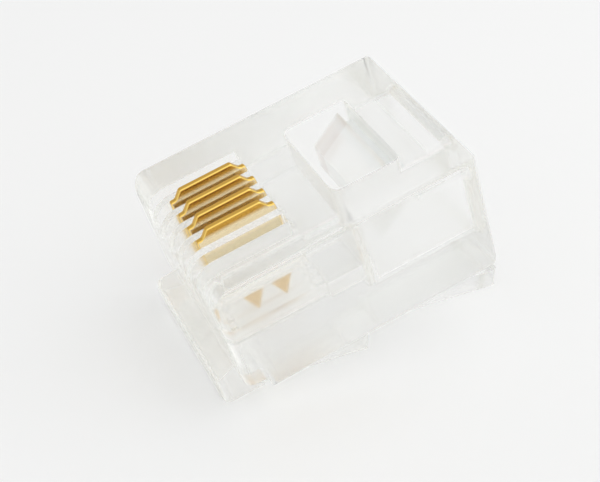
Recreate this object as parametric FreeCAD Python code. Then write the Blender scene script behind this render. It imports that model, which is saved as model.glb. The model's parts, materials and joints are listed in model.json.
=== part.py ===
import FreeCAD, Part
import math
import os

# Six position modular plug with four contacts, uncrimped, lying on its latch.
# Lengths are in millimetres and angles in degrees.
# The plug is drawn in its own frame: X runs from the nose face (X = 0) to the cable end,
# Y runs across, and Z = 0 is the contact face, with the body below it.
# Last of all the finished pieces are tipped to the pose in which the plug lies at rest.

os.makedirs("parts", exist_ok=True)
V = FreeCAD.Vector

# Body
body_length = 12.1
body_width = 9.65
body_depth = 6.0
nose_round = 1.0        # edge between the nose face and the contact face
heel_round = 0.7        # edge between the cable end and the latch side
corner_round = 0.3      # upright corners at the cable end
nose_corner_round = 0.5
long_edge_round = 0.22  # edges that run along the body
nose_depth = 5.3        # where the nose is stepped back on both sides of the latch root
nose_step = 1.05
step_round = 0.25

# Cable cavity, open at the cable end
entry_width = 5.2
ceiling_wall = 1.25
floor_wall = 1.25
cavity_length = 5.45
cavity_round = 0.5
mouth_flare = 0.35
throat_length = 1.7     # flat space ahead of the cavity, where the conductors spread
throat_round = 0.2

# Contact positions, conductor channels and blade slots
position_count = 6
contact_count = 4
pitch = 1.02
channel_diameter = 0.9
channel_gap = 0.05      # from the tips of the driven teeth down to the channel floor
nose_wall = 0.4
groove_width = 0.6      # where the socket's wires run in from the nose
groove_depth = 1.62
slot_clearance = 0.02

# Contact blade
blade_setback = 0.87
blade_length = 3.56
blade_thickness = 0.3
blade_depth = 2.2
crest_length = 2.42
crest_height = 0.59
crest_round = 0.15
shoulder_height = 0.18
shoulder_length = 0.25
tooth_length = 1.0
tooth_width = 0.95
tooth_spacing = 1.3
crimp_travel = 1.15     # how far crimping drives the blades in

# Strain relief, a wedge that hangs by a thin web in a window of the contact face
window_setback = 2.3    # from the cable end
window_round = 0.3
bar_width = 4.8
bar_length = 1.6
bar_front_height = 1.2
bar_peak_depth = 0.34   # peak below the contact face
bar_peak_setback = 0.53
bar_slope = 35.0        # both sloping faces against the contact face
web_depth = 1.0
web_thickness = 0.4

# Latch and its root at the nose
latch_angle = 16.0      # between the latch and the body when free
latch_thickness = 1.1
latch_width = 6.2
latch_shoulder = 7.1    # front of the root to the locking shoulders, along the latch
latch_length = 14.7     # front of the root to the end of the tail, along the latch
tail_width = 3.2
tail_thickness = 0.9
tail_ramp = 0.9
tail_round = 0.4
shoulder_fillet = 0.3
latch_edge_round = 0.12
root_overhang = 0.98    # ahead of the nose face
root_drop = 0.6         # below the latch side of the body
root_height = 1.35
root_slope = 16.0       # of its top, up towards the nose face
root_width = 7.6
root_round = 0.3
root_edge_round = 0.25
hinge_clearance = 0.05
body_clearance = 0.1    # between the hinge socket and the latch side of the body


def outline(corners, place):
    """Closed wire through (u, v, radius) corners; place maps the flat point into space."""
    ends = []
    for i, (u, v, radius) in enumerate(corners):
        corner = V(u, v, 0)
        before, after = corners[i - 1], corners[(i + 1) % len(corners)]
        back = (V(before[0], before[1], 0) - corner).normalize()
        on = (V(after[0], after[1], 0) - corner).normalize()
        half = back.getAngle(on) / 2
        run = radius / math.tan(half)
        middle = (back + on).normalize() * (radius / math.sin(half) - radius)
        ends.append((corner + back * run, corner + middle, corner + on * run))
    edges = []
    for i, (start, middle, end) in enumerate(ends):
        if corners[i][2] > 0:
            edges.append(Part.Arc(place(start), place(middle), place(end)).toShape())
        edges.append(Part.makeLine(place(end), place(ends[(i + 1) % len(ends)][0])))
    return Part.Wire(edges)


def side_slab(corners, width, centre=0.0):
    """Side view outline, (x, z, radius) corners, with a width across the plug."""
    wire = outline(corners, lambda p: V(p.x, centre - width / 2, p.y))
    return Part.Face(wire).extrude(V(0, width, 0))


def plan_slab(corners, low, high):
    """Plan outline, (x, y, radius) corners, from one height to another."""
    wire = outline(corners, lambda p: V(p.x, p.y, low))
    return Part.Face(wire).extrude(V(0, 0, high - low))


def end_outline(width, top, bottom, radius, x):
    """Rounded rectangle across the plug at the stated X."""
    half = width / 2
    corners = [(-half, bottom, radius), (half, bottom, radius), (half, top, radius), (-half, top, radius)]
    return outline(corners, lambda p: V(x, p.x, p.y))


def end_slab(width, top, bottom, radius, front, rear):
    """Rounded rectangle across the plug, run from one X to another."""
    return Part.Face(end_outline(width, top, bottom, radius, front)).extrude(V(rear - front, 0, 0))


def rows(count):
    """Y of each of a number of contact positions, spaced by the pitch about the middle."""
    return [(i - (count - 1) / 2) * pitch for i in range(count)]


# Latch line: the underside of the latch starts at the lower front edge of its root.
sine, cosine = math.sin(math.radians(latch_angle)), math.cos(math.radians(latch_angle))
root_front = V(-root_overhang, 0, -body_depth - root_drop)


def on_latch(along, above):
    """Point in the plug's frame from its place along and above the underside of the latch."""
    return root_front + V(along * cosine + above * sine, 0, above * cosine - along * sine)


half_thickness = latch_thickness / 2
socket_radius = half_thickness + hinge_clearance
hinge_along = (body_clearance + socket_radius - root_drop + half_thickness * cosine) / sine
hinge = on_latch(hinge_along, half_thickness)

# Heights and places that several features share.
beyond = body_length    # a length that carries a cut clear of the body
slot_width = blade_thickness + 2 * slot_clearance
tooth_tip = -blade_depth - tooth_length
channel_axis = tooth_tip - crimp_travel - channel_gap + channel_diameter / 2
ceiling, floor = -ceiling_wall, floor_wall - body_depth
cavity_front = body_length - cavity_length
throat_front = cavity_front - throat_length
window_rear = body_length - window_setback


def make_body():
    """The block of the moulding: one outline for each of its three views."""
    side = side_slab([(0, -nose_depth, step_round), (nose_step, -nose_depth, step_round),
                      (nose_step, -body_depth, step_round), (body_length, -body_depth, heel_round),
                      (body_length, 0, 0), (0, 0, nose_round)], body_width)
    half = body_width / 2
    plan = plan_slab([(0, -half, nose_corner_round), (body_length, -half, corner_round),
                      (body_length, half, corner_round), (0, half, nose_corner_round)], -body_depth, 0)
    end = end_slab(body_width, 0, -body_depth, long_edge_round, 0, body_length)
    return side.common(plan).common(end)


def make_root():
    """The lip under the nose that carries the latch, with the round seat in which the latch turns."""
    front_top = root_front.z + root_height
    top = front_top + root_overhang * math.tan(math.radians(root_slope))
    foot = on_latch(hinge_along, 0)
    head = foot + V(sine, 0, cosine) * ((top - foot.z) / cosine)
    side = side_slab([(root_front.x, root_front.z, root_edge_round), (foot.x, foot.z, 0),
                      (head.x, head.z, 0), (0, top, 0), (root_front.x, front_top, root_edge_round)],
                     root_width)
    wide, narrow = root_width / 2, latch_width / 2
    rear = max(foot.x, head.x)
    plan = plan_slab([(root_front.x, -wide, root_round), (rear, -narrow, 0),
                      (rear, narrow, 0), (root_front.x, wide, root_round)], foot.z, top)
    seat = Part.makeCylinder(socket_radius, root_width, V(hinge.x, -root_width / 2, hinge.z), V(0, 1, 0))
    return side.common(plan).cut(seat)


def make_cavity():
    """Cable cavity with its flared mouth, and the flat throat from it to the conductor channels."""
    half = entry_width / 2
    far = body_length + beyond
    plan = plan_slab([(cavity_front, -half, cavity_round), (far, -half, 0),
                      (far, half, 0), (cavity_front, half, cavity_round)], floor, ceiling)
    cavity = end_slab(entry_width, ceiling, floor, cavity_round, cavity_front, far).common(plan)
    flare_front = end_outline(entry_width, ceiling, floor, cavity_round, body_length - mouth_flare)
    flare_rear = end_outline(entry_width + 2 * mouth_flare, ceiling + mouth_flare, floor - mouth_flare,
                             cavity_round + mouth_flare, body_length)
    flare = Part.makeLoft([flare_front, flare_rear], True, True)
    throat = end_slab(entry_width - 2 * cavity_round, channel_axis + channel_diameter / 2,
                      channel_axis - channel_diameter / 2, throat_round, throat_front,
                      cavity_front + cavity_round)
    return cavity.fuse(flare).fuse(throat)


def make_positions():
    """A groove open to the nose at every position; a blade slot and a round channel where a contact goes."""
    cuts = []
    slot_front = blade_setback - slot_clearance
    slot_rear = blade_setback + blade_length + slot_clearance
    for y in rows(position_count):
        cuts.append(side_slab([(-beyond, -groove_depth, 0), (slot_rear, -groove_depth, 0),
                               (slot_rear, beyond, 0), (-beyond, beyond, 0)], groove_width, y))
    for y in rows(contact_count):
        cuts.append(side_slab([(slot_front, channel_axis, 0), (slot_rear, channel_axis, 0),
                               (slot_rear, -groove_depth, 0), (slot_front, -groove_depth, 0)], slot_width, y))
        cuts.append(Part.makeCylinder(channel_diameter / 2, throat_front + throat_round - nose_wall,
                                      V(nose_wall, y, channel_axis), V(1, 0, 0)))
    return cuts


def make_window():
    """Window in the contact face, over the front of the cavity, where the strain relief is pressed in."""
    half = entry_width / 2
    return plan_slab([(cavity_front, -half, cavity_round), (window_rear, -half, window_round),
                      (window_rear, half, window_round), (cavity_front, half, cavity_round)],
                     ceiling - cavity_round, beyond)


def make_strain_relief():
    """Peaked wedge in the window: it slopes down towards the nose and hangs by a web at its back."""
    slope = math.tan(math.radians(bar_slope))
    back = window_rear - web_thickness
    front = back - bar_length
    web_low = -web_depth - web_thickness
    peak_x = window_rear - bar_peak_setback
    front_top = -bar_peak_depth - (peak_x - front) * slope
    wedge = side_slab([(front, front_top - bar_front_height, 0), (back, web_low, 0),
                       (back, -web_depth, 0), (peak_x, -bar_peak_depth, 0), (front, front_top, 0)], bar_width)
    web = side_slab([(back - web_thickness, web_low, 0), (window_rear + ceiling_wall, web_low, 0),
                     (window_rear + ceiling_wall, -web_depth, 0), (back - web_thickness, -web_depth, 0)],
                    bar_width)
    return wedge.fuse(web)


def make_housing():
    solid = make_body().fuse(make_root())
    solid = solid.cut([make_cavity(), make_window()] + make_positions())
    return solid.fuse(make_strain_relief()).removeSplitter()


def make_contact(y):
    """Stamped blade: raised crest, two shoulders, and two teeth that pierce the conductor."""
    front, rear = blade_setback, blade_setback + blade_length
    middle = (front + rear) / 2
    corners = [(front, -blade_depth, 0), (front, shoulder_height, 0),
               (front + shoulder_length, shoulder_height, 0),
               (middle - crest_length / 2, crest_height, crest_round),
               (middle + crest_length / 2, crest_height, crest_round),
               (rear - shoulder_length, shoulder_height, 0),
               (rear, shoulder_height, 0), (rear, -blade_depth, 0)]
    for tooth in (middle + tooth_spacing / 2, middle - tooth_spacing / 2):
        corners += [(tooth + tooth_width / 2, -blade_depth, 0), (tooth, tooth_tip, 0),
                    (tooth - tooth_width / 2, -blade_depth, 0)]
    return side_slab(corners, blade_thickness, y)


def make_latch():
    """Springy latch, drawn along its own underside: wide arm, locking shoulders and finger tail."""
    wide, narrow = latch_width / 2, tail_width / 2
    ramp_end = latch_shoulder + tail_ramp
    side = side_slab([(hinge_along, 0, 0), (latch_length, 0, latch_edge_round),
                      (latch_length, tail_thickness, latch_edge_round), (ramp_end, tail_thickness, 0),
                      (latch_shoulder, latch_thickness, 0), (hinge_along, latch_thickness, 0)], latch_width)
    plan = plan_slab([(hinge_along, -wide, 0), (latch_shoulder, -wide, latch_edge_round),
                      (latch_shoulder, -narrow, shoulder_fillet), (latch_length, -narrow, tail_round),
                      (latch_length, narrow, tail_round), (latch_shoulder, narrow, shoulder_fillet),
                      (latch_shoulder, wide, latch_edge_round), (hinge_along, wide, 0)], 0, latch_thickness)
    knuckle = Part.makeCylinder(half_thickness, latch_width, V(hinge_along, -wide, half_thickness),
                                V(0, 1, 0))
    arm = side.common(plan).fuse(knuckle).removeSplitter()
    arm.rotate(V(0, 0, 0), V(0, 1, 0), latch_angle)
    arm.translate(root_front)
    return arm


pieces = {"housing": make_housing(), "latch": make_latch()}
for number, y in enumerate(reversed(rows(contact_count)), 1):
    pieces["contact_%d" % number] = make_contact(y)

# At rest the plug lies with the whole underside of its latch on the surface.
for piece in pieces.values():
    piece.rotate(root_front, V(0, 1, 0), -latch_angle)
box = Part.makeCompound(list(pieces.values())).optimalBoundingBox(False)
to_origin = V(-(box.XMin + box.XMax) / 2, 0, -root_front.z)
for name, piece in pieces.items():
    piece.translate(to_origin)
    piece.exportStep("parts/%s.step" % name)
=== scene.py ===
import json
import math

import bpy
from bpy.props import FloatProperty, FloatVectorProperty, PointerProperty
from mathutils import Matrix, Vector

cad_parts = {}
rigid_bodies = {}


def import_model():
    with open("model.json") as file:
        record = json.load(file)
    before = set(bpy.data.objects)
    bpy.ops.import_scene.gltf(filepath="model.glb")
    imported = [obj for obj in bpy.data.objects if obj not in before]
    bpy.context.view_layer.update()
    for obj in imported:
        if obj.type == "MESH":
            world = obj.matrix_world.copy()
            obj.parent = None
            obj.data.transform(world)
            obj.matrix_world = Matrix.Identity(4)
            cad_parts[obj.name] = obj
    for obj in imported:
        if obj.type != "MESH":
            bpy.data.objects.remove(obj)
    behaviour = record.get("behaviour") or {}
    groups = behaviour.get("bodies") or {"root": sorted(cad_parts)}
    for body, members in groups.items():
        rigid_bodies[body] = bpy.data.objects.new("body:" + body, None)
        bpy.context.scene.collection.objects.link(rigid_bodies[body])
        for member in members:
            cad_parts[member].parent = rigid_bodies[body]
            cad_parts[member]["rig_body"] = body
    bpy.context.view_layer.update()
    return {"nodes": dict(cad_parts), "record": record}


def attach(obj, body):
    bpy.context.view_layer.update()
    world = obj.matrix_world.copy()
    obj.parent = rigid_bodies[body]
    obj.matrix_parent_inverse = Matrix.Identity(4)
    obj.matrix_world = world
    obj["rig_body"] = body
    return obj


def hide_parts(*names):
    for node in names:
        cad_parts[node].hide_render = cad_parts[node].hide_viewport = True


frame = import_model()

bl_info = {
    "name": "Clear Modular Plug",
    "version": (1, 0, 0),
    "blender": (4, 5, 0),
    "location": "View3D > Sidebar > Plug",
    "description": "Dresses a six position modular plug in clear plastic and gold, on a pale studio floor",
    "category": "Add Mesh",
}

MM = 0.001
CONTACTS = sorted(name for name in frame["nodes"] if name.startswith("contact"))
NOSE = next(mount for mount in frame["record"]["mounts"] if mount["name"] == "nose_entry")

# Work on the bench, in millimetres and radians
WELD_WITHIN = 0.0005
FLAT_WITHIN = math.radians(0.4)
SHARP_FROM = math.radians(40)
SMOOTH_BELOW = math.radians(50)
FLAT_FACE_WEIGHT = 100
MOULDED_SEGMENTS = 3
STAMPED_SEGMENTS = 4
ROUNDED = 1    # material slot that marks the rounded edges while a piece is on the bench
WORN_EDGE = "worn_edge"    # face attribute that keeps the mark

# Spots of the moulding with a look of their own: spans along X, Y and Z of the plug's frame, in millimetres.
# The strain web and the far end of the strain relief carry painted shade.
BORES = ((0.35, 5.0), (-4.8, 4.8), (-1.6, -0.4))
CAVITY = ((4.9, 12.0), (-2.7, 2.7), (-1.85, 2.9))
# Painted shade: the strain relief's web is tinted grey-blue where shade falls on its steep face
STRAIN_WEB = ((9.3, 9.9), (-2.45, 2.45), (1.5, 2.6))
# Painted shade: a darker pinkish patch on the far end of the strain relief
PEAK_SHADE = ((7.6, 9.2), (1.5, 2.2), (0.4, 2.7))
SPOT_SOFTNESS = 0.05
# Softness of the painted shade on the far end of the strain relief
PEAK_SHADE_SOFTNESS = 0.15

# Colours of the contacts' sides, by their height above the plug's mid depth in millimetres: the bronze, thin
# gold and gold are plating, the pale band level with the contact face is a painted reflection of the ribs
# and the deep band under the crest is a painted reflection of the next blade in shade
CREST = 3.59
PLATING_AND_REFLECTIONS = (
    (0.8, "bronze"),
    (1.0, "thin_gold"),
    (CREST - 1.1, "thin_gold"),
    # Painted reflection: the pale band level with the contact face stands for the pale ribs mirrored in the
    # side
    (CREST - 0.95, "pale_painted_reflection"),
    (CREST - 0.42, "pale_painted_reflection"),
    # Painted reflection: the deep band under the crest stands for the next blade's shaded side mirrored in
    # this one
    (CREST - 0.24, "deep_painted_reflection"),
    (CREST - 0.1, "deep_painted_reflection"),
    (CREST, "gold"),
)

# Faces of the contacts, told apart by how much of their normal points across the plug
SIDE_FACING = (0.8, 0.99)
# Corners of the crests, where a highlight is painted
CORNER_FACING = (0.5, 0.75)
CORNER_SOFTNESS = 0.2
CREST_ROUGHNESS = (0.14, 0.2)
SIDE_ROUGHNESS = 0.22
BRUSH_STRENGTH = 0.04
BRUSH_HEIGHT = 0.02 * MM

# Handling marks: noise on a millimetre grid, and where the noise shows as a mark
SCUFF_DETAIL = 4.0
SCUFF_LIMITS = (0.45, 0.7)
PLASTIC_SCUFFS = 0.8
GOLD_SCUFFS = 3.0
PAPER_SCUFFS = 0.02
CLEAR = (1.0, 1.0, 1.0)
SCUFFED = (0.99, 0.99, 0.985)
CLEAN_HAZE = 0.65    # haze of the clean plastic, as a share of the scuffed plastic's

# Floor, camera and light paths
FLOOR_SIZE = 2.0
FLOOR_GAP = 0.02 * MM    # keeps the floor clear of the latch that lies on it
PAPER_SHADE = 0.99
PAPER_SHINE = 0.1
PAPER_ROUGHNESS = 0.8
SENSOR_WIDTH = 36.0
CLIP_START = 1 * MM
CLIP_END = 10.0
LIGHT_BOUNCES = 40    # enough for light to leave the walls, ribs and cavity of the clear moulding again

WHOLE = (0.0, 1.0)


class PlugSizes(bpy.types.PropertyGroup):
    """How far the edges of the pieces are rounded off, in metres"""

    moulded_edge: FloatProperty(
        name="Moulded Edge", description="Rounding of the housing's sharp edges",
        default=0.1 * MM, min=0.0, unit="LENGTH", precision=6)
    latch_edge: FloatProperty(
        name="Latch Edge", description="Rounding of the latch's edges",
        default=0.1 * MM, min=0.0, unit="LENGTH", precision=6)
    stamped_edge: FloatProperty(
        name="Stamped Edge", description="Rounding of the contacts' edges",
        default=0.09 * MM, min=0.0, unit="LENGTH", precision=6)


class PlugFinish(bpy.types.PropertyGroup):
    """Colours and gloss of the plastic and the gold"""

    plastic_tint: FloatVectorProperty(
        name="Plastic Tint", description="Colour that the clear plastic takes on where it is deep",
        subtype="COLOR", size=3, min=0.0, max=1.0, default=(0.68, 0.70, 0.58))
    plastic_depth: FloatProperty(
        name="Plastic Depth", description="How strongly the plastic tints the light, for each metre of it",
        default=13.0, min=0.0)
    plastic_index: FloatProperty(
        name="Plastic Index", description="Refractive index of polycarbonate",
        default=1.585, min=1.0, max=2.5)
    plastic_haze: FloatProperty(
        name="Plastic Haze", description="Roughness of the handled plastic, at its most scuffed",
        default=0.26, min=0.0, max=1.0)
    edge_haze: FloatProperty(
        name="Edge Haze", description="Roughness of the plastic's rounded edges, which wear first",
        default=0.5, min=0.0, max=1.0)
    bore_satin: FloatProperty(
        name="Bore Satin", description="Roughness of the bores of the conductor channels",
        default=0.3, min=0.0, max=1.0)
    cavity_satin: FloatProperty(
        name="Cavity Satin", description="Roughness of the walls of the cable cavity",
        default=0.3, min=0.0, max=1.0)
    # Painted shade: grey-blue tint on the strain relief's web
    web_painted_shade: FloatVectorProperty(
        name="Web Painted Shade", description="Colour of the grey-blue shade painted on the strain relief's web",
        subtype="COLOR", size=3, min=0.0, max=1.0, default=(0.87, 0.90, 0.90))
    # Painted shade: darker pinkish tint on the far end of the strain relief
    peak_painted_shade: FloatVectorProperty(
        name="Peak Painted Shade", description="Colour of the pinkish shade painted on the far end of the strain relief",
        subtype="COLOR", size=3, min=0.0, max=1.0, default=(0.87, 0.83, 0.81))
    gold: FloatVectorProperty(
        name="Gold", description="Colour of the full plating on the crests of the contacts",
        subtype="COLOR", size=3, min=0.0, max=1.0, default=(0.68, 0.41, 0.08))
    # Painted highlight: brighter gold on the corners of the crests
    painted_highlight_gold: FloatVectorProperty(
        name="Painted Highlight Gold", description="Colour of the highlight painted on the corners of the crests",
        subtype="COLOR", size=3, min=0.0, max=1.0, default=(0.98, 0.70, 0.20))
    # Painted reflection: dark orange band under the crests, for the next blade in shade
    deep_painted_reflection: FloatVectorProperty(
        name="Deep Painted Reflection", description="Colour of the contacts' sides just below the crests",
        subtype="COLOR", size=3, min=0.0, max=1.0, default=(0.60, 0.33, 0.06))
    # Painted reflection: pale band level with the contact face, for the pale ribs
    pale_painted_reflection: FloatVectorProperty(
        name="Pale Painted Reflection", description="Colour of the contacts' sides level with the contact face",
        subtype="COLOR", size=3, min=0.0, max=1.0, default=(0.91, 0.78, 0.53))
    thin_gold: FloatVectorProperty(
        name="Thin Gold", description="Colour of the flash plating low on the contacts' sides",
        subtype="COLOR", size=3, min=0.0, max=1.0, default=(0.77, 0.66, 0.42))
    bronze: FloatVectorProperty(
        name="Bronze", description="Colour of the piercing teeth of the contacts",
        subtype="COLOR", size=3, min=0.0, max=1.0, default=(0.80, 0.60, 0.34))


class PlugStudio(bpy.types.PropertyGroup):
    """Floor, lights and camera"""

    floor: FloatVectorProperty(
        name="Floor", description="Colour of the floor",
        subtype="COLOR", size=3, min=0.0, max=1.0, default=(0.86, 0.86, 0.86))
    walls: FloatVectorProperty(
        name="Walls", description="Colour of the studio's walls, level with the plug",
        subtype="COLOR", size=3, min=0.0, max=1.0, default=(0.83, 0.84, 0.83))
    ceiling: FloatVectorProperty(
        name="Ceiling", description="Colour of the studio's ceiling",
        subtype="COLOR", size=3, min=0.0, max=1.0, default=(0.99, 0.99, 0.99))
    front_light: FloatProperty(
        name="Front Light",
        description="How much brighter the room is in front of the plug than at its sides",
        default=0.2, min=0.0, max=1.0)
    key_share: FloatProperty(
        name="Key Share", description="Light on the floor from the key softbox, where 1 is a white floor",
        default=0.17, min=0.0, max=2.0)
    key_size: FloatProperty(
        name="Key Size", description="Side of the key softbox",
        default=150 * MM, min=0.0, unit="LENGTH")
    key_place: FloatVectorProperty(
        name="Key Place", description="Where the key softbox hangs",
        subtype="TRANSLATION", unit="LENGTH", size=3, default=(70 * MM, -15 * MM, 120 * MM))
    camera_place: FloatVectorProperty(
        name="Camera Place", description="Where the camera stands",
        subtype="TRANSLATION", unit="LENGTH", size=3, default=(-20.37 * MM, -40.65 * MM, 37.34 * MM))
    camera_aim: FloatVectorProperty(
        name="Camera Aim", description="Point in the middle of the picture",
        subtype="TRANSLATION", unit="LENGTH", size=3, default=(-3.0 * MM, -2.57 * MM, 6.48 * MM))
    camera_roll: FloatProperty(
        name="Camera Roll", description="Turn of the camera about its line of sight",
        subtype="ANGLE", default=math.radians(-0.33))
    camera_lens: FloatProperty(
        name="Camera Lens", description="Focal length in millimetres on a sensor 36 mm wide",
        default=76.4, min=1.0)


def select_only(piece):
    """Selects one object and makes it the active one."""
    bpy.ops.object.select_all(action="DESELECT")
    piece.select_set(True)
    bpy.context.view_layer.objects.active = piece


def bench_copy(node, name):
    """Copy of a CAD node's mesh on the bench: in millimetres, with its triangles merged into whole faces."""
    mesh = frame["nodes"][node].data.copy()
    mesh.name = name
    mesh.materials.clear()
    mesh.transform(Matrix.Scale(1 / MM, 4))
    piece = bpy.data.objects.new(name, mesh)
    bpy.context.scene.collection.objects.link(piece)
    select_only(piece)
    bpy.ops.mesh.customdata_custom_splitnormals_clear()
    bpy.ops.object.mode_set(mode="EDIT")
    bpy.ops.mesh.select_all(action="SELECT")
    bpy.ops.mesh.remove_doubles(threshold=WELD_WITHIN)
    bpy.ops.mesh.dissolve_limited(angle_limit=FLAT_WITHIN)
    bpy.ops.object.mode_set(mode="OBJECT")
    return piece


def soften(piece, radius, segments):
    """Rounds the sharp edges off with a bevel, keeps the flat faces flat and marks the roundings as worn."""
    slots = piece.data.materials
    for _ in range(ROUNDED + 1):
        slots.append(None)
    bevel = piece.modifiers.new("Soft Edges", "BEVEL")
    bevel.material = ROUNDED
    bevel.width = radius / MM
    bevel.segments = segments
    bevel.limit_method = "ANGLE"
    bevel.angle_limit = SHARP_FROM
    bevel.miter_outer = "MITER_ARC"
    bpy.ops.object.modifier_apply(modifier=bevel.name)
    bpy.ops.object.shade_smooth_by_angle(angle=SMOOTH_BELOW)
    weigh = piece.modifiers.new("Flat Faces", "WEIGHTED_NORMAL")
    weigh.keep_sharp = True
    weigh.weight = FLAT_FACE_WEIGHT
    bpy.ops.object.modifier_apply(modifier=weigh.name)
    worn = piece.data.attributes.new(WORN_EDGE, "FLOAT", "FACE")
    worn.data.foreach_set("value", [float(face.material_index == ROUNDED) for face in piece.data.polygons])
    slots.clear()


def off_the_bench(piece, node, material):
    """Puts a finished piece in the CAD node's place and gives it its material."""
    piece.data.transform(Matrix.Scale(MM, 4))
    piece.data.materials.append(material)
    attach(piece, frame["nodes"][node]["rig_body"])
    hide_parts(node)


def opaque(colour):
    """The four values that a node's colour socket takes."""
    return (*colour, 1.0)


def feed(tree, source, socket):
    """Gives a socket another node's output, or a plain number or colour."""
    if isinstance(source, bpy.types.NodeSocket):
        tree.links.new(source, socket)
    else:
        socket.default_value = source


def worked_out(tree, operation, *values):
    """Result of a sum on one or two values, each a number or another node's output."""
    node = tree.nodes.new("ShaderNodeMath")
    node.operation = operation
    for value, socket in zip(values, node.inputs):
        feed(tree, value, socket)
    return node.outputs["Value"]


def ranged(tree, value, source, target=WHOLE):
    """A value carried over from one range to another, and held at the ends."""
    node = tree.nodes.new("ShaderNodeMapRange")
    for name, limit in zip(("From Min", "From Max", "To Min", "To Max"), (*source, *target)):
        node.inputs[name].default_value = limit
    tree.links.new(value, node.inputs["Value"])
    return node.outputs["Result"]


def tinted(tree, factor, low, high):
    """Colour from low to high, each a colour or another node's output, as a mask goes from 0 to 1."""
    node = tree.nodes.new("ShaderNodeMix")
    node.data_type = "RGBA"
    tree.links.new(factor, node.inputs["Factor"])
    feed(tree, low, node.inputs["A"])
    feed(tree, high, node.inputs["B"])
    return node.outputs["Result"]


def bumped(tree, height, strength, distance):
    """Normal of a surface raised by a height."""
    node = tree.nodes.new("ShaderNodeBump")
    node.inputs["Strength"].default_value = strength
    node.inputs["Distance"].default_value = distance
    tree.links.new(height, node.inputs["Height"])
    return node.outputs["Normal"]


def between(tree, value, span, softness):
    """1 where a value lies within a span, and 0 beyond it, with a soft change."""
    low, high = span
    middle, reach = (low + high) / 2, (high - low) / 2
    away = worked_out(tree, "ABSOLUTE", worked_out(tree, "SUBTRACT", value, middle))
    return ranged(tree, away, (reach + softness, reach))


def axes_of(tree, vector):
    """The X, Y and Z outputs of a vector."""
    split = tree.nodes.new("ShaderNodeSeparateXYZ")
    tree.links.new(vector, split.inputs["Vector"])
    return split.outputs


def plug_frame(tree):
    """Object coordinates in mm, turned to the plug: X from the nose face back, Z from mid depth up."""
    place = tree.nodes.new("ShaderNodeTexCoord")
    turn = tree.nodes.new("ShaderNodeMapping")
    turn.vector_type = "TEXTURE"
    turn.inputs["Location"].default_value = NOSE["pos_m"]
    turn.inputs["Rotation"].default_value = (0.0, math.asin(NOSE["axis"][2]), 0.0)
    turn.inputs["Scale"].default_value = (MM, MM, MM)
    tree.links.new(place.outputs["Object"], turn.inputs["Vector"])
    return axes_of(tree, turn.outputs["Vector"])


def inside(tree, axes, spans, softness=SPOT_SOFTNESS):
    """1 inside a box given by its spans along X, Y and Z of the plug's frame, and 0 outside it."""
    along, across, up = (between(tree, axes[axis], span, softness) for axis, span in zip("XYZ", spans))
    return worked_out(tree, "MULTIPLY", worked_out(tree, "MULTIPLY", along, across), up)


def fine_scuffs():
    """Node group: fine handling marks, as a mask and a height, on a millimetre grid."""
    name = "Fine Scuffs"
    if name in bpy.data.node_groups:
        return bpy.data.node_groups[name]
    group = bpy.data.node_groups.new(name, "ShaderNodeTree")
    group.interface.new_socket("Vector", in_out="INPUT", socket_type="NodeSocketVector")
    group.interface.new_socket("Scale", in_out="INPUT", socket_type="NodeSocketFloat")
    group.interface.new_socket("Mask", in_out="OUTPUT", socket_type="NodeSocketFloat")
    group.interface.new_socket("Height", in_out="OUTPUT", socket_type="NodeSocketFloat")
    start = group.nodes.new("NodeGroupInput")
    end = group.nodes.new("NodeGroupOutput")
    noise = group.nodes.new("ShaderNodeTexNoise")
    noise.inputs["Detail"].default_value = SCUFF_DETAIL
    group.links.new(start.outputs["Vector"], noise.inputs["Vector"])
    group.links.new(start.outputs["Scale"], noise.inputs["Scale"])
    group.links.new(ranged(group, noise.outputs["Fac"], SCUFF_LIMITS), end.inputs["Mask"])
    group.links.new(noise.outputs["Fac"], end.inputs["Height"])
    return group


def new_material(name, scuff_scale):
    """Material with its node tree, its Principled surface and the outputs of the scuffs on it."""
    material = bpy.data.materials.new(name)
    material.use_nodes = True
    tree = material.node_tree
    place = tree.nodes.new("ShaderNodeTexCoord")
    grid = tree.nodes.new("ShaderNodeMapping")
    grid.inputs["Scale"].default_value = (1 / MM, 1 / MM, 1 / MM)
    tree.links.new(place.outputs["Object"], grid.inputs["Vector"])
    scuffs = tree.nodes.new("ShaderNodeGroup")
    scuffs.node_tree = fine_scuffs()
    scuffs.inputs["Scale"].default_value = scuff_scale
    tree.links.new(grid.outputs["Vector"], scuffs.inputs["Vector"])
    return material, tree, tree.nodes["Principled BSDF"], scuffs.outputs


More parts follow.
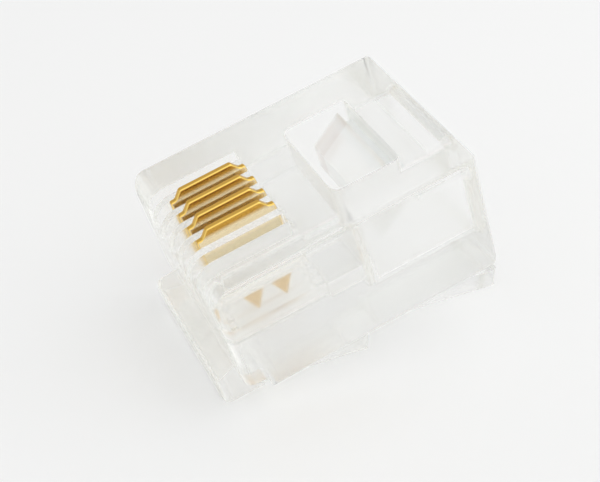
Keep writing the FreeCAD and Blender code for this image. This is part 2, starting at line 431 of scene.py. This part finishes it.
def clear_plastic(finish):
    """Clear polycarbonate, hazed by handling: satin on worn edges, in the bores and in the cavity, with
    painted grey-blue shade on the strain relief's web and painted pinkish shade on the strain relief's far
    end."""
    name = "clear_polycarbonate"
    if name in bpy.data.materials:
        return bpy.data.materials[name]
    material, tree, surface, scuffs = new_material(name, PLASTIC_SCUFFS)
    surface.inputs["Transmission Weight"].default_value = 1.0
    surface.inputs["IOR"].default_value = finish.plastic_index
    axes = plug_frame(tree)
    web = inside(tree, axes, STRAIN_WEB)
    # Painted shade: mask of the pinkish patch on the far end of the strain relief
    peak_shade = inside(tree, axes, PEAK_SHADE, PEAK_SHADE_SOFTNESS)
    colour = tinted(tree, scuffs["Mask"], opaque(CLEAR), opaque(SCUFFED))
    # Painted shade: the strain relief's web is tinted grey-blue
    colour = tinted(tree, web, colour, opaque(finish.web_painted_shade))
    colour = tinted(tree, peak_shade, colour, opaque(finish.peak_painted_shade))
    tree.links.new(colour, surface.inputs["Base Color"])
    worn = tree.nodes.new("ShaderNodeAttribute")
    worn.attribute_name = WORN_EDGE
    rough = ranged(tree, scuffs["Mask"], WHOLE, (CLEAN_HAZE * finish.plastic_haze, finish.plastic_haze))
    for mask, satin in ((inside(tree, axes, BORES), finish.bore_satin),
                        (inside(tree, axes, CAVITY), finish.cavity_satin),
                        (worn.outputs["Fac"], finish.edge_haze)):
        rough = worked_out(tree, "MAXIMUM", rough, ranged(tree, mask, WHOLE, (0.0, satin)))
    tree.links.new(rough, surface.inputs["Roughness"])
    depth = tree.nodes.new("ShaderNodeVolumeAbsorption")
    depth.inputs["Color"].default_value = opaque(finish.plastic_tint)
    depth.inputs["Density"].default_value = finish.plastic_depth
    tree.links.new(depth.outputs["Volume"], tree.nodes["Material Output"].inputs["Volume"])
    return material


def side_plating_and_reflections(tree, finish):
    """Colour of the contacts' flat sides, from the bronze teeth up to the gold crest, with a painted
    reflection in the pale band and in the deep band.
    """
    ramp = tree.nodes.new("ShaderNodeValToRGB")
    stops = ramp.color_ramp.elements
    for level, _ in PLATING_AND_REFLECTIONS[1:-1]:
        stops.new(level / CREST)
    for stop, (level, colour) in zip(stops, PLATING_AND_REFLECTIONS):
        stop.position = level / CREST
        stop.color = opaque(getattr(finish, colour))
    tree.links.new(ranged(tree, plug_frame(tree)["Z"], (0.0, CREST)), ramp.inputs["Fac"])
    return ramp.outputs["Color"]


def gold_plate(finish):
    """Stamped contact: gold with a painted highlight on the corners of the crests, and sides coloured by
    height as plating and painted reflections, faintly brushed.
    """
    name = "gold_plate"
    if name in bpy.data.materials:
        return bpy.data.materials[name]
    material, tree, surface, scuffs = new_material(name, GOLD_SCUFFS)
    surface.inputs["Metallic"].default_value = 1.0
    place = tree.nodes.new("ShaderNodeTexCoord")
    facing = worked_out(tree, "ABSOLUTE", axes_of(tree, place.outputs["Normal"])["Y"])
    side = ranged(tree, facing, SIDE_FACING)
    # Painted highlight: the corners of the crests get the brighter gold
    corner = between(tree, facing, CORNER_FACING, CORNER_SOFTNESS)
    edge = tinted(tree, corner, opaque(finish.gold), opaque(finish.painted_highlight_gold))
    tree.links.new(tinted(tree, side, edge, side_plating_and_reflections(tree, finish)), surface.inputs["Base Color"])
    gloss = ranged(tree, scuffs["Mask"], WHOLE, CREST_ROUGHNESS)
    satin = ranged(tree, side, WHOLE, (0.0, SIDE_ROUGHNESS))
    tree.links.new(worked_out(tree, "MAXIMUM", gloss, satin), surface.inputs["Roughness"])
    brushed = bumped(tree, scuffs["Height"], BRUSH_STRENGTH, BRUSH_HEIGHT)
    tree.links.new(brushed, surface.inputs["Normal"])
    return material


class PLUG_OT_housing(bpy.types.Operator):
    """Clear housing: the CAD form with softened edges"""

    bl_idname = "plug.housing"
    bl_label = "Clear Housing"

    def execute(self, context):
        piece = bench_copy("housing", "clear_housing")
        soften(piece, context.scene.plug_sizes.moulded_edge, MOULDED_SEGMENTS)
        off_the_bench(piece, "housing", clear_plastic(context.scene.plug_finish))
        return {"FINISHED"}


class PLUG_OT_latch(bpy.types.Operator):
    """Clear latch: the CAD form with softened edges"""

    bl_idname = "plug.latch"
    bl_label = "Clear Latch"

    def execute(self, context):
        piece = bench_copy("latch", "clear_latch")
        soften(piece, context.scene.plug_sizes.latch_edge, MOULDED_SEGMENTS)
        off_the_bench(piece, "latch", clear_plastic(context.scene.plug_finish))
        return {"FINISHED"}


class PLUG_OT_contacts(bpy.types.Operator):
    """Gold contact blades with softened edges"""

    bl_idname = "plug.contacts"
    bl_label = "Gold Contacts"

    def execute(self, context):
        for node in CONTACTS:
            piece = bench_copy(node, "gold_" + node)
            soften(piece, context.scene.plug_sizes.stamped_edge, STAMPED_SEGMENTS)
            off_the_bench(piece, node, gold_plate(context.scene.plug_finish))
        return {"FINISHED"}


def pale_paper(studio):
    """Matt pale paper, with a faint unevenness."""
    material, tree, surface, scuffs = new_material("pale_floor", PAPER_SCUFFS)
    shaded = opaque(PAPER_SHADE * tone for tone in studio.floor)
    tree.links.new(tinted(tree, scuffs["Mask"], opaque(studio.floor), shaded), surface.inputs["Base Color"])
    surface.inputs["Specular IOR Level"].default_value = PAPER_SHINE
    surface.inputs["Roughness"].default_value = PAPER_ROUGHNESS
    return material


def studio_dome(studio):
    """White room around the plug: walls darker than the ceiling, and brighter in front than behind."""
    world = bpy.data.worlds.new("studio")
    world.use_nodes = True
    tree = world.node_tree
    background = tree.nodes["Background"]
    way = axes_of(tree, tree.nodes.new("ShaderNodeTexCoord").outputs["Generated"])
    room = tinted(tree, way["Z"], opaque(studio.walls), opaque(studio.ceiling))
    front_to_back = (1.0 + studio.front_light, 1.0 - studio.front_light)
    tree.links.new(room, background.inputs["Color"])
    tree.links.new(ranged(tree, way["Y"], (-1.0, 1.0), front_to_back), background.inputs["Strength"])
    return world


def facing_along(sight):
    """Turn that points a lamp or camera along a line of sight."""
    return sight.to_track_quat("-Z", "Y").to_matrix()


def softbox(name, place, size, share):
    """Square area light aimed at the origin, where alone it lights a floor to a share of white."""
    sight = -Vector(place)
    slant = -sight.normalized().z
    lamp = bpy.data.lights.new(name, "AREA")
    lamp.shape = "SQUARE"
    lamp.size = size
    lamp.energy = share * math.pi ** 2 * sight.length_squared / slant
    box = bpy.data.objects.new(name, lamp)
    box.matrix_world = Matrix.Translation(place) @ facing_along(sight).to_4x4()
    bpy.context.scene.collection.objects.link(box)


def studio_camera(studio):
    """Camera at the stated place, aim, roll and lens."""
    lens = bpy.data.cameras.new("camera")
    lens.lens = studio.camera_lens
    lens.sensor_width = SENSOR_WIDTH
    lens.clip_start = CLIP_START
    lens.clip_end = CLIP_END
    camera = bpy.data.objects.new("camera", lens)
    sight = Vector(studio.camera_aim) - Vector(studio.camera_place)
    turn = facing_along(sight) @ Matrix.Rotation(studio.camera_roll, 3, "Z")
    camera.matrix_world = Matrix.Translation(studio.camera_place) @ turn.to_4x4()
    bpy.context.scene.collection.objects.link(camera)
    return camera


class PLUG_OT_studio(bpy.types.Operator):
    """Pale floor, soft light and the camera"""

    bl_idname = "plug.studio"
    bl_label = "Studio"

    def execute(self, context):
        scene = context.scene
        studio = scene.plug_studio
        bpy.ops.object.select_all(action="DESELECT")
        bpy.ops.mesh.primitive_plane_add(size=FLOOR_SIZE, location=(0.0, 0.0, -FLOOR_GAP))
        floor = context.object
        floor.name = "floor"
        floor.data.materials.append(pale_paper(studio))

        scene.world = studio_dome(studio)
        softbox("key_softbox", studio.key_place, studio.key_size, studio.key_share)
        scene.camera = studio_camera(studio)

        scene.view_settings.view_transform = "Standard"
        scene.cycles.blur_glossy = 0.0
        scene.cycles.max_bounces = LIGHT_BOUNCES
        scene.cycles.diffuse_bounces = LIGHT_BOUNCES
        scene.cycles.transmission_bounces = LIGHT_BOUNCES
        scene.cycles.glossy_bounces = LIGHT_BOUNCES
        scene.cycles.transparent_max_bounces = LIGHT_BOUNCES
        return {"FINISHED"}


class PLUG_PT_panel(bpy.types.Panel):
    """Sidebar panel with the plug's settings and steps"""

    bl_label = "Clear Modular Plug"
    bl_idname = "PLUG_PT_panel"
    bl_space_type = "VIEW_3D"
    bl_region_type = "UI"
    bl_category = "Plug"

    def draw(self, context):
        for group in (context.scene.plug_sizes, context.scene.plug_finish, context.scene.plug_studio):
            box = self.layout.box()
            for name in group.__annotations__:
                box.prop(group, name)
        for step in STEPS:
            self.layout.operator(step.bl_idname)


STEPS = (PLUG_OT_housing, PLUG_OT_latch, PLUG_OT_contacts, PLUG_OT_studio)
CLASSES = (PlugSizes, PlugFinish, PlugStudio, *STEPS, PLUG_PT_panel)


def register():
    """Registers the classes and gives every scene the plug's settings."""
    for cls in CLASSES:
        bpy.utils.register_class(cls)
    bpy.types.Scene.plug_sizes = PointerProperty(type=PlugSizes)
    bpy.types.Scene.plug_finish = PointerProperty(type=PlugFinish)
    bpy.types.Scene.plug_studio = PointerProperty(type=PlugStudio)


def unregister():
    """Takes the settings and the classes away again."""
    del bpy.types.Scene.plug_studio
    del bpy.types.Scene.plug_finish
    del bpy.types.Scene.plug_sizes
    for cls in reversed(CLASSES):
        bpy.utils.unregister_class(cls)


def main():
    register()
    bpy.ops.plug.housing()
    bpy.ops.plug.latch()
    bpy.ops.plug.contacts()
    bpy.ops.plug.studio()


if __name__ == "__main__":
    main()
